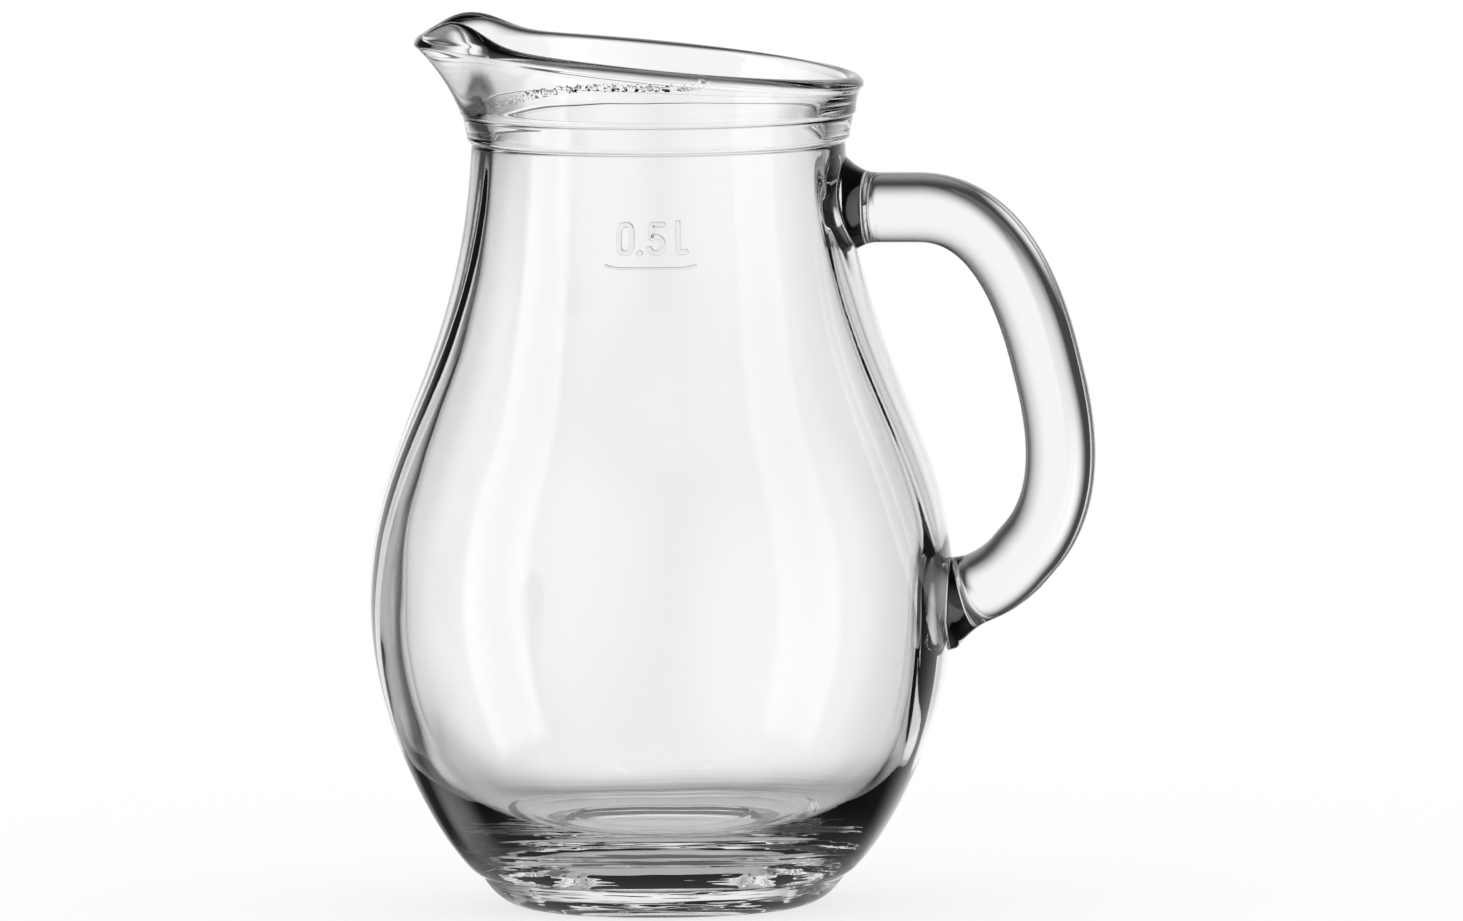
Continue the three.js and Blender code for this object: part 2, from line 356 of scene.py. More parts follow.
def outer_outline():
    """Outside of the vessel from the middle of the underside to the lip's outer edge."""
    lip_start = RIM_HEIGHT_AT_HANDLE - LIP_THICKNESS / 2
    overhang = COLLAR_RADIUS + LIP_OVERHANG
    collar_foot = COLLAR_RADIUS - COLLAR_TAPER
    return np.vstack([
        curve([(0, PUSH_UP_HEIGHT), (PUSH_UP_CROWN, PUSH_UP_HEIGHT), (RING_INNER_RADIUS, 0)]),
        curve([
            (RING_OUTER_RADIUS, 0),
            (FOOT_RADIUS - FOOT_UNDERCUT, FOOT_ROUND_HEIGHT),
            (FOOT_RADIUS, FOOT_HEIGHT),
        ]),
        body_curves(),
        curve([
            (NECK_RADIUS, COLLAR_BOTTOM),
            (collar_foot, COLLAR_BOTTOM),
            (collar_foot, COLLAR_BOTTOM + COLLAR_ROUND),
        ]),
        [(COLLAR_RADIUS, COLLAR_TOP)],
        curve([(overhang, COLLAR_TOP), (overhang, COLLAR_TOP + LIP_FLARE_HEIGHT), (RIM_RADIUS, lip_start)]),
    ])


def creases(height):
    """How deep the creases at the collar lie at a height, as a share of their full depth."""
    below = (height - COLLAR_BOTTOM) / CREASE_HALF_WIDTH
    above = (height - COLLAR_TOP) / CREASE_HALF_WIDTH
    return np.exp(-(below ** 2)) + np.exp(-(above ** 2))


def lip_round():
    """The lip's round top from its outer edge to its inner one."""
    turn = np.linspace(0, math.pi, CURVE_STEPS)
    half = LIP_THICKNESS / 2
    radius = RIM_RADIUS - half + half * np.cos(turn)
    height = RIM_HEIGHT_AT_HANDLE - half + half * np.sin(turn)
    return np.stack([radius, height], axis=1)


def inner_outline():
    """Inside of the vessel from the lip's inner edge down the wall to the middle of the floor."""
    inner_belly = (BELLY_RADIUS - BELLY_WALL, BELLY_HEIGHT)
    inner_neck = (NECK_RADIUS - NECK_WALL, COLLAR_BOTTOM)
    floor_edge = (FLOOR_RADIUS, FLOOR_HEIGHT + FLOOR_DISH)
    lip_edge = (RIM_RADIUS - LIP_THICKNESS, RIM_HEIGHT_AT_HANDLE - LIP_THICKNESS / 2)
    outline = np.vstack([
        curve([lip_edge, (COLLAR_RADIUS - COLLAR_WALL, COLLAR_TOP), inner_neck]),
        curve([
            inner_neck,
            (NECK_RADIUS + NECK_TAPER - SHOULDER_WALL, COLLAR_BOTTOM - NECK_FULLNESS),
            (inner_belly[0], BELLY_HEIGHT + SHOULDER_FULLNESS),
            inner_belly,
        ]),
        curve([
            inner_belly,
            (inner_belly[0], BELLY_HEIGHT - INNER_LOWER_FULLNESS),
            (FLOOR_RADIUS + FLOOR_CORNER_OUT, floor_edge[1] + FLOOR_CORNER_UP),
            floor_edge,
        ]),
        curve([floor_edge, (FLOOR_RADIUS / 2, FLOOR_HEIGHT), (0, FLOOR_HEIGHT)]),
    ])
    outline = evenly(outline, OUTLINE_STEP)
    on_floor = outline[:, 1] < WAVES_FROM
    for radius, rise, half_width in FLOOR_RINGS:
        ring = rise * np.exp(-(((outline[:, 0] - radius) / half_width) ** 2))
        outline[:, 1] += np.where(on_floor, ring, 0)
    return outline


def polish(points):
    """Rounds the outline's corners as a flame does; the ends stay on the axis."""
    fine = evenly(points, OUTLINE_STEP)
    reach = int(POLISH_SPAN * POLISH / OUTLINE_STEP)
    offsets = np.arange(-reach, reach + 1) * OUTLINE_STEP
    weights = np.exp(-0.5 * (offsets / POLISH) ** 2)
    weights /= weights.sum()
    mirror = np.array([-1, 1])
    padded = np.vstack([fine[reach:0:-1] * mirror, fine, fine[-2:-reach - 2:-1] * mirror])
    rounded = np.stack([np.convolve(column, weights, "valid") for column in padded.T], axis=1)
    rounded[[0, -1], 0] = 0
    return rounded


def thin_out(points):
    """Drops points where the outline is nearly straight, but none near the collar's creases."""
    near_crease = np.zeros(len(points), bool)
    for height in (COLLAR_BOTTOM, COLLAR_TOP):
        near_crease |= np.abs(points[:, 1] - height) < CREASE_SPAN * CREASE_HALF_WIDTH
    near_crease &= points[:, 0] > NECK_RADIUS - CREASE_DEPTH
    steps = np.diff(points, axis=0)
    headings = np.unwrap(np.arctan2(steps[:, 1], steps[:, 0]))
    lengths = np.linalg.norm(steps, axis=1)
    kept = [0]
    turned = 0.0
    travelled = 0.0
    for i in range(1, len(steps)):
        turned += abs(headings[i] - headings[i - 1])
        travelled += lengths[i - 1]
        if near_crease[i] or turned > LARGEST_TURN or travelled > LONGEST_FACE:
            kept.append(i)
            turned = 0.0
            travelled = 0.0
    return np.vstack([points[kept], points[-1:]])


def crest_rise(angle):
    """Height of the crests on either side of the spout, at an angle from it."""
    spread = np.where(angle < CREST_ANGLE, CREST_INNER_SPREAD, CREST_OUTER_SPREAD)
    return CREST_RISE * np.exp(-(((angle - CREST_ANGLE) / spread) ** 2))


def pull_lip(points):
    """Slants the lip and pulls the spout out of it; the glass below the collar's top stays round. The
    spout's channel is narrower inside than out, and the crests rise out of the lip's rounded top."""
    lip_start = RIM_HEIGHT_AT_HANDLE - LIP_THICKNESS / 2
    height = points[..., 2]
    share = np.clip((height - COLLAR_TOP) / (lip_start - COLLAR_TOP), 0, 1)
    top_share = np.clip((height - lip_start) / (LIP_THICKNESS / 2), 0, 1)
    radius = axis_distance(points)
    side = np.arctan2(points[..., 1], -points[..., 0])
    angle = np.abs(side)
    far_share = smooth_share((side / CREST_ANGLE + 1) / 2)
    taper = CREST_TAPER_NEAR + (CREST_TAPER_FAR - CREST_TAPER_NEAR) * far_share
    inner_radius = COLLAR_RADIUS - COLLAR_WALL
    inner_radius = inner_radius + (RIM_RADIUS - LIP_THICKNESS - inner_radius) * share
    outside = np.clip((radius - inner_radius) / LIP_THICKNESS, 0, 1)
    half_angle = SPOUT_INNER_HALF_ANGLE + (SPOUT_OUTER_HALF_ANGLE - SPOUT_INNER_HALF_ANGLE) * outside
    pull = SPOUT_REACH * np.exp(-((angle / half_angle) ** 2)) * share ** SPOUT_CURL
    slant = (RIM_HEIGHT_AT_SPOUT - RIM_HEIGHT_AT_HANDLE) * (1 + np.cos(angle)) / 2
    moved = move_out(points, pull)
    moved[..., 2] = height + slant * share + crest_rise(angle) * top_share ** taper
    return moved


def inner_waves(points):
    """Moves the inside of the wall in and out along its waves and ridges, and inward behind the welds."""
    turn = np.arctan2(points[..., 1], points[..., 0])
    height = points[..., 2]
    wave = np.zeros_like(height)
    for count, size, twist, start in INNER_WAVES:
        wave += size * np.sin(count * turn + twist * math.tau * height + start)
    for heading, drift, width, size in INNER_RIDGES:
        middle = np.radians(heading + drift * (height - BELLY_HEIGHT))
        aside = (turn - middle + math.pi) % math.tau - math.pi
        wave -= size * np.exp(-((aside / math.radians(width)) ** 2))
    wave *= smooth_share((height - WAVES_FROM) / WAVES_FADE)
    wave *= smooth_share((WAVES_TO - height) / WAVES_FADE)
    for (origin, _, _, _), (size, above, below, aside) in zip(weld_frames(), WELD_PUSHES):
        rise = height - origin[2]
        upright = rise / np.where(rise > 0, above, below)
        push = size * np.exp(-(upright ** 2) - (points[..., 1] / aside) ** WELD_PUSH_FLATNESS)
        wave -= np.where(points[..., 0] > 0, push, 0)
    return move_out(points, wave)


def press_creases(points, turn):
    """Moves the outside of the wall inward along the creases below and above the collar."""
    facing = (1 + np.cos(turn - CREASE_HEADING)) / 2
    depth = CREASE_DEPTH * (CREASE_LEAST + (1 - CREASE_LEAST) * facing) * creases(points[..., 2])
    return move_out(points, -depth)


def make_object(name, points, faces, material):
    """A smooth-shaded mesh in the scene."""
    mesh = bpy.data.meshes.new(name)
    mesh.from_pydata([tuple(point) for point in points], [], faces)
    mesh.shade_smooth()
    mesh.materials.append(material)
    piece = bpy.data.objects.new(name, mesh)
    bpy.context.scene.collection.objects.link(piece)
    return piece


def ring_faces(rows, columns, first=0, looped=False):
    """Quads between rows of points that close round on themselves; a loop's last row meets its first."""
    faces = []
    for row in range(rows if looped else rows - 1):
        for column in range(columns):
            following = (column + 1) % columns
            low = first + row * columns
            high = first + (row + 1) % rows * columns
            faces.append((low + column, low + following, high + following, high + column))
    return faces


def fan_faces(centre, first, columns, flipped):
    """Triangles from a middle point to a row that closes round on itself."""
    faces = []
    for column in range(columns):
        a = first + column
        b = first + (column + 1) % columns
        faces.append((centre, a, b) if flipped else (centre, b, a))
    return faces


def weld_frames():
    """Where the rod meets the wall: the point, the way out along the rod, the flare and its length."""
    upper = np.array([float(body_radius(UPPER_WELD_HEIGHT)), 0, UPPER_WELD_HEIGHT])
    lower = np.array([float(body_radius(LOWER_WELD_HEIGHT)), 0, LOWER_WELD_HEIGHT])
    slope = np.array([TOE_REACH, 0, TOE_RISE])
    return [
        (upper, np.array([1.0, 0, 0]), UPPER_WELD_FLARE, UPPER_FLARE_LENGTH),
        (lower, slope / np.linalg.norm(slope), LOWER_WELD_FLARE, LOWER_FLARE_LENGTH),
    ]


def flare_at(distance, flare, length):
    """How much a weld widens the rod at a distance outside the vessel's wall."""
    share = np.maximum(1 - np.maximum(distance, FLARE_START) / length, 0)
    return flare * share ** 2


def weld_distance(points):
    """How far each point of the vessel's outside lies from the nearest weld's edge; negative inside it."""
    nearest = np.full(len(points), FAR_OFF)
    for origin, out, flare, length in weld_frames():
        relative = points - origin
        along = relative @ out
        across = np.linalg.norm(relative - along[:, None] * out, axis=1)
        edge = across - ROD_RADIUS - flare_at(along, flare, length)
        nearest = np.minimum(nearest, np.where(points[:, 0] > 0, edge, FAR_OFF))
    return nearest


def make_vessel(material):
    """The body: its outline turned round the axis, uneven inside, creased at the collar, with its spout."""
    whole = np.vstack([outer_outline(), lip_round(), inner_outline()])
    outline = thin_out(polish(whole))
    turn = np.linspace(0, math.tau, TURN_STEPS, endpoint=False)
    rows = outline[1:-1]
    grid = np.stack([
        rows[:, :1] * np.cos(turn),
        rows[:, :1] * np.sin(turn),
        np.repeat(rows[:, 1:], TURN_STEPS, axis=1),
    ], axis=-1)
    top_row = int(np.argmax(rows[:, 1]))
    grid[top_row:] = inner_waves(grid[top_row:])
    grid[:top_row] = press_creases(grid[:top_row], turn)
    grid = pull_lip(grid)
    points = np.vstack([grid.reshape(-1, 3), [(0, 0, outline[0, 1])], [(0, 0, outline[-1, 1])]])
    count = len(rows) * TURN_STEPS
    faces = ring_faces(len(rows), TURN_STEPS)
    faces += fan_faces(count, 0, TURN_STEPS, False)
    faces += fan_faces(count + 1, count - TURN_STEPS, TURN_STEPS, True)
    outside = np.zeros(len(points), bool)
    outside[:top_row * TURN_STEPS] = True
    edge = np.where(outside, weld_distance(points), FAR_OFF)
    points[:, 0] += JUG_AXIS
    vessel = make_object("vessel_glass", points, faces, material)
    attribute = vessel.data.attributes.new("weld_edge", "FLOAT", "POINT")
    attribute.data.foreach_set("value", edge.astype(np.float32))
    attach(vessel, "root")
    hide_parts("vessel")


def towards(start, end, length):
    """The point at a length from start on the way to end."""
    way = end - start
    return start + way * (length / np.linalg.norm(way))


def rod_axis():
    """The rod's axis from the neck's wall to the belly's, as points an even step apart."""
    (upper, _, _, _), (lower, _, _, _) = weld_frames()
    shoulder = np.array([NECK_RADIUS + SHOULDER_REACH, 0, UPPER_WELD_HEIGHT])
    heel = np.array([BELLY_RADIUS + HEEL_REACH, 0, HEEL_HEIGHT])
    toe = lower + np.array([TOE_REACH, 0, TOE_RISE])
    corners = [
        (upper, shoulder, heel, SHOULDER_BEFORE, SHOULDER_AFTER),
        (shoulder, heel, toe, HEEL_BEFORE, HEEL_AFTER),
        (heel, toe, lower, TOE_ROUND, TOE_ROUND),
    ]
    runs = [upper[None]]
    for before, corner, after, length_in, length_out in corners:
        runs.append(curve([towards(corner, before, length_in), corner, towards(corner, after, length_out)]))
    runs.append(lower[None])
    line = evenly(np.vstack(runs), OUTLINE_STEP)
    return evenly(line, np.linalg.norm(np.diff(line, axis=0), axis=1).sum() / ROD_RINGS)


def seat_on_wall(points, out):
    """Slides points along the rod's end until they lie on the vessel's wall, a hair inside it."""
    low = np.full(len(points), -SEAT_SEARCH)
    high = np.full(len(points), SEAT_SEARCH)
    for _ in range(SEAT_HALVINGS):
        middle = (low + high) / 2
        tried = points + middle[:, None] * out
        inside = np.hypot(tried[:, 0], tried[:, 1]) < body_radius(tried[:, 2]) - WELD_SINK
        low = np.where(inside, middle, low)
        high = np.where(inside, high, middle)
    return points + high[:, None] * out


def ring_round(way):
    """Unit vectors round the rod where its axis runs a given way."""
    side = np.array([0.0, 1.0, 0])
    turn = np.linspace(0, math.tau, ROD_SIDES, endpoint=False)
    return np.cos(turn)[:, None] * np.cross(way, side) - np.sin(turn)[:, None] * side


def weld_rows(weld, first_ring):
    """Rows of the rod's end, from the middle of its seat out to the first plain ring."""
    origin, out, flare, length = weld
    ring = ring_round(out)
    seat = origin + ring * ROD_RADIUS
    for _ in range(FLARE_ROUNDS):
        along = (seat_on_wall(seat, out) - origin) @ out
        seat = origin + ring * (ROD_RADIUS + flare_at(along, flare, length))[:, None]
    edge = seat_on_wall(seat, out)
    across = seat - origin
    rows = []
    for step in range(1, CAP_RINGS):
        rows.append(seat_on_wall(origin + across * (step / CAP_RINGS), out))
    rows.append(edge)
    start = (edge - origin) @ out
    end = float((first_ring - origin) @ out)
    for step in range(1, WELD_ROWS):
        along = start + (end - start) * (step / WELD_ROWS)
        radius = ROD_RADIUS + flare_at(along, flare, length)
        rows.append(origin + along[:, None] * out + ring * radius[:, None])
    centre = seat_on_wall(origin[None], out)
    return centre, rows


def make_handle(glass, through):
    """The bent rod with its two flared ends, whose seats on the wall let light straight through."""
    axis = rod_axis()
    step = np.linalg.norm(np.diff(axis, axis=0), axis=1)
    travelled = np.r_[0, np.cumsum(step)]
    upper, lower = weld_frames()
    tangents = np.gradient(axis, axis=0)
    tangents /= np.linalg.norm(tangents, axis=1)[:, None]
    to_go = travelled[-1] - travelled
    plain = np.flatnonzero((travelled > UPPER_WELD_RUN) & (to_go > LOWER_WELD_RUN))
    rows = []
    for i in plain:
        radius = ROD_RADIUS
        radius += flare_at(travelled[i], upper[2], upper[3])
        radius += flare_at(to_go[i], lower[2], lower[3])
        rows.append(axis[i] + radius * ring_round(tangents[i]))
    upper_centre, upper_rows = weld_rows(upper, axis[plain[0]])
    lower_centre, lower_rows = weld_rows(lower, axis[plain[-1]])
    mirrored = (ROD_SIDES // 2 - np.arange(ROD_SIDES)) % ROD_SIDES
    lower_rows = [row[mirrored] for row in reversed(lower_rows)]
    rows = upper_rows + rows + lower_rows
    points = np.vstack(rows + [upper_centre, lower_centre])
    count = len(rows) * ROD_SIDES
    faces = fan_faces(count, 0, ROD_SIDES, False)
    faces += ring_faces(len(rows), ROD_SIDES)
    faces += fan_faces(count + 1, count - ROD_SIDES, ROD_SIDES, True)
    points[:, 0] += JUG_AXIS
    handle = make_object("handle_glass", points, faces, glass)
    handle.data.materials.append(through)
    cap = CAP_RINGS * ROD_SIDES
    for polygon in handle.data.polygons:
        if polygon.index < cap or polygon.index >= len(faces) - cap:
            polygon.material_index = 1
    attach(handle, "root")
    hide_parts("handle")


def arc(centre, radii, start, end):
    turn = np.linspace(start, end, CURVE_STEPS)
    return np.stack([centre[0] + radii[0] * np.cos(turn), centre[1] + radii[1] * np.sin(turn)], axis=1)


def mark_strokes():
    """The fill mark's strokes as lines on the unrolled wall, each with its width and whether it closes."""
    aside = np.linspace(-MARK_LINE_HALF, MARK_LINE_HALF, CURVE_STEPS)
    curl = MARK_LINE_CURL * (aside / MARK_LINE_HALF) ** MARK_LINE_FLATNESS
    line = np.stack([aside, curl - MARK_LINE_DROP], axis=1)
    point = np.array([POINT_AT, (POINT_AT[0] + BEAD_STEP, POINT_AT[1])])
    five = np.vstack([FIVE_TOP, arc(FIVE_BOWL_AT, FIVE_BOWL_RADII, *FIVE_BOWL_TURN)])
    litre = np.vstack([LITRE_STEM, curve(LITRE_FOOT)])
    turn = np.linspace(0, math.tau, CURVE_STEPS)
    round_x = np.sign(np.cos(turn)) * np.abs(np.cos(turn)) ** NOUGHT_SQUARE
    round_y = np.sign(np.sin(turn)) * np.abs(np.sin(turn)) ** NOUGHT_SQUARE
    nought = np.array(NOUGHT_AT) + np.stack([round_x, round_y], axis=1) * NOUGHT_RADII
    figures = [(nought, True), (point, False), (five, False), (litre, False)]
    return [(path, closed, BEAD_WIDTH) for path, closed in figures] + [(line, False, LINE_WIDTH)]


def bead_rows(path, closed, width):
    """Rows of points round a low bead that follows a path on the wall; open ends are rounded off."""
    half = width / 2
    if not closed:
        before = towards(path[0], path[1], -half)
        after = towards(path[-1], path[-2], -half)
        path = np.vstack([before, path, after])
    line = evenly(path, BEAD_STEP)
    way = np.gradient(line, axis=0)
    if closed:
        line = line[:-1]
        way = np.roll(line, -1, axis=0) - np.roll(line, 1, axis=0)
    way /= np.linalg.norm(way, axis=1)[:, None]
    across = np.stack([way[:, 1], -way[:, 0]], axis=1)
    from_end = np.full(len(line), half)
    if not closed:
        from_end = np.minimum(np.arange(len(line)), np.arange(len(line))[::-1]) * BEAD_STEP + BEAD_STEP / 2
    full = np.sqrt(1 - (1 - np.minimum(from_end / half, 1)) ** 2)
    share = np.linspace(-1, 1, BEAD_POINTS)
    top = BEAD_RISE * smooth_share((1 - np.abs(share)) / BEAD_SHOULDER)
    sides = np.r_[share, share[::-1]]
    lifts = np.r_[top, np.full(BEAD_POINTS, -BEAD_SINK)]
    rows = []
    for i in range(len(line)):
        flat = line[i] + sides[:, None] * half * full[i] * across[i]
        lift = np.where(lifts > 0, lifts * full[i], lifts)
        height = MARK_FOOT + flat[:, 1]
        heading = MARK_HEADING + flat[:, 0] / body_radius(MARK_FOOT)
        radius = body_radius(height) + lift
        rows.append(np.stack([radius * np.cos(heading), radius * np.sin(heading), height], axis=1))
    return rows


def make_fill_mark(material):
    """The raised figures and the line under them, as one piece of low beads."""
    points = []
    faces = []
    columns = 2 * BEAD_POINTS
    for path, closed, width in mark_strokes():
        rows = bead_rows(path, closed, width)
        first = len(points)
        points.extend(np.vstack(rows))
        last = first + (len(rows) - 1) * columns
        faces += ring_faces(len(rows), columns, first, closed)
        if not closed:
            points.extend([rows[0].mean(axis=0), rows[-1].mean(axis=0)])
            faces += fan_faces(last + columns, first, columns, False)
            faces += fan_faces(last + columns + 1, last, columns, True)
    points = np.array(points)
    points[:, 0] += JUG_AXIS
    mark = make_object("fill_mark", points, faces, material)
    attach(mark, "root")


def add_node(tree, kind, **settings):
    node = tree.nodes.new(kind)
    for name, value in settings.items():
        setattr(node, name, value)
    return node


def new_material(name):
    material = bpy.data.materials.new(name)
    material.use_nodes = True
    material.node_tree.nodes.clear()
    return material, material.node_tree


def math_node(tree, operation, *values):
    node = add_node(tree, "ShaderNodeMath", operation=operation)
    for socket, value in zip(node.inputs, values):
        if isinstance(value, (int, float)):
            socket.default_value = value
        else:
            tree.links.new(value, socket)
    return node.outputs[0]


def map_range(tree, value, start, end, low, high):
    """Smooth change from one level to another while a value goes from start to end."""
    node = add_node(tree, "ShaderNodeMapRange", interpolation_type="SMOOTHSTEP")
    tree.links.new(value, node.inputs["Value"])
    node.inputs["From Min"].default_value = start
    node.inputs["From Max"].default_value = end
    node.inputs["To Min"].default_value = low
    node.inputs["To Max"].default_value = high
    return node.outputs[0]


def bump(tree, height, rise, normal=None):
    node = add_node(tree, "ShaderNodeBump")
    tree.links.new(height, node.inputs["Height"])
    node.inputs["Strength"].default_value = 1.0
    node.inputs["Distance"].default_value = rise
    if normal is not None:
        tree.links.new(normal, node.inputs["Normal"])
    return node.outputs["Normal"]


def noise(tree, place, scale, detail):
    node = add_node(tree, "ShaderNodeTexNoise")
    tree.links.new(place, node.inputs["Vector"])
    node.inputs["Scale"].default_value = scale
    node.inputs["Detail"].default_value = detail
    return node.outputs["Fac"]


def chill_marks(tree, place):
    """Speckle along an arc that climbs the lip's wall and then runs level."""
    parts = add_node(tree, "ShaderNodeSeparateXYZ")
    tree.links.new(place, parts.inputs[0])
    sideways = math_node(tree, "SUBTRACT", parts.outputs["X"], JUG_AXIS)
    heading = math_node(tree, "ARCTAN2", parts.outputs["Y"], sideways)
    heading = math_node(tree, "WRAP", heading, math.tau, 0.0)
    start, bend, end = (math.radians(value) for value in (CHILL_FROM, CHILL_BEND, CHILL_TO))
    before = math_node(tree, "DIVIDE", math_node(tree, "SUBTRACT", bend, heading), bend - start)
    before = math_node(tree, "MAXIMUM", before, 0.0)
    drop = math_node(tree, "MULTIPLY", math_node(tree, "MULTIPLY", before, before), CHILL_DROP)
    middle = math_node(tree, "SUBTRACT", CHILL_TOP, drop)
    apart = math_node(tree, "ABSOLUTE", math_node(tree, "SUBTRACT", parts.outputs["Z"], middle))
    band = map_range(tree, apart, 0.0, CHILL_WIDTH, 1.0, 0.0)
    band = math_node(tree, "MULTIPLY", band, map_range(tree, heading, start, bend, 0.0, 1.0))
    band = math_node(tree, "MULTIPLY", band, map_range(tree, heading, bend, end, 1.0, 0.0))
    grain = map_range(tree, noise(tree, place, CHILL_SCALE, CHILL_DETAIL), *CHILL_GRAIN, 0.0, 1.0)
    return math_node(tree, "MULTIPLY", grain, band)


def heel_streaks(tree, place):
    """Fine level streaks on the foot and the heel above it."""
    stretched = add_node(tree, "ShaderNodeVectorMath", operation="MULTIPLY")
    tree.links.new(place, stretched.inputs[0])
    stretched.inputs[1].default_value = HEEL_STREAKS
    parts = add_node(tree, "ShaderNodeSeparateXYZ")
    tree.links.new(place, parts.inputs[0])
    band = map_range(tree, parts.outputs["Z"], HEEL_FULL, HEEL_END, 1.0, 0.0)
    return math_node(tree, "MULTIPLY", noise(tree, stretched.outputs[0], 1.0, HEEL_DETAIL), band)


def glass_material(name, is_vessel):
    """Clear fire-polished glass with the faint waves of hot-worked glass; the vessel's has chill marks
    and heel streaks, and lets light straight through where the handle is welded on."""
    material, tree = new_material(name)
    shader = add_node(tree, "ShaderNodeBsdfPrincipled")
    shader.inputs["Base Color"].default_value = (1, 1, 1, 1)
    shader.inputs["Roughness"].default_value = 0.0
    shader.inputs["IOR"].default_value = GLASS_IOR
    shader.inputs["Transmission Weight"].default_value = 1.0
    place = add_node(tree, "ShaderNodeTexCoord").outputs["Object"]
    normal = bump(tree, noise(tree, place, WAVE_SCALE, WAVE_DETAIL), WAVE_RISE)
    surface = shader.outputs[0]
    if is_vessel:
        normal = bump(tree, chill_marks(tree, place), CHILL_RISE, normal)
        normal = bump(tree, heel_streaks(tree, place), HEEL_RISE, normal)
        edge = add_node(tree, "ShaderNodeAttribute", attribute_name="weld_edge")
        inside = math_node(tree, "LESS_THAN", edge.outputs["Fac"], 0.0)
        clear = add_node(tree, "ShaderNodeBsdfTransparent")
        mix = add_node(tree, "ShaderNodeMixShader")
        tree.links.new(inside, mix.inputs[0])
        tree.links.new(surface, mix.inputs[1])
        tree.links.new(clear.outputs[0], mix.inputs[2])
        surface = mix.outputs[0]
    tree.links.new(normal, shader.inputs["Normal"])
    depth = add_node(tree, "ShaderNodeVolumeAbsorption")
    depth.inputs["Color"].default_value = GLASS_TINT
    depth.inputs["Density"].default_value = GLASS_DENSITY
    output = add_node(tree, "ShaderNodeOutputMaterial")
    tree.links.new(surface, output.inputs["Surface"])
    tree.links.new(depth.outputs[0], output.inputs["Volume"])
    return material


def weld_material():
    """Inside a weld the glass of handle and wall is one, so light goes straight through."""
    material, tree = new_material("weld_inside")
    clear = add_node(tree, "ShaderNodeBsdfTransparent")
    output = add_node(tree, "ShaderNodeOutputMaterial")
    tree.links.new(clear.outputs[0], output.inputs["Surface"])
    return material


def lobe(tree, heading, height, aim, spread):
    """One white panel of the studio: 1 at its middle, fading smoothly to 0 past its spread."""
    aside = math_node(tree, "SUBTRACT", heading, math.radians(aim[0]))
    aside = math_node(tree, "WRAP", aside, math.pi, -math.pi)
    above = math_node(tree, "SUBTRACT", height, math.radians(aim[1]))
    shares = []
    for turn, less, more in ((aside, spread[1], spread[0]), (above, spread[3], spread[2])):
        behind = math_node(tree, "DIVIDE", math_node(tree, "MINIMUM", turn, 0.0), math.radians(less))
        ahead = math_node(tree, "DIVIDE", math_node(tree, "MAXIMUM", turn, 0.0), math.radians(more))
        share = math_node(tree, "ADD", behind, ahead)
        shares.append(math_node(tree, "MULTIPLY", share, share))
    square = math_node(tree, "ADD", *shares)
    return map_range(tree, math_node(tree, "SQRT", square), PANEL_PLAIN, PANEL_END, 1.0, 0.0)


def strip(tree, heading, height, aim, half_width):
    """One upright soft strip of the studio, with soft edges."""
    aside = math_node(tree, "SUBTRACT", heading, math.radians(aim))
    aside = math_node(tree, "ABSOLUTE", math_node(tree, "WRAP", aside, math.pi, -math.pi))
    edge = math.radians(STRIP_EDGE)
    side = math.radians(half_width)
    across = map_range(tree, aside, side - edge, side + edge, 1.0, 0.0)
    low, high = math.radians(STRIP_LOW), math.radians(STRIP_HIGH)
    above = map_range(tree, height, low - edge, low + edge, 0.0, 1.0)
    below = map_range(tree, height, high - edge, high + edge, 1.0, 0.0)
    return math_node(tree, "MULTIPLY", across, math_node(tree, "MULTIPLY", above, below))


def seen_in_glass(tree, path):
    """1 for what glass reflects or lets through, 0 for what is seen or lit directly."""
    return math_node(tree, "MAXIMUM", path.outputs["Is Glossy Ray"], path.outputs["Is Transmission Ray"])


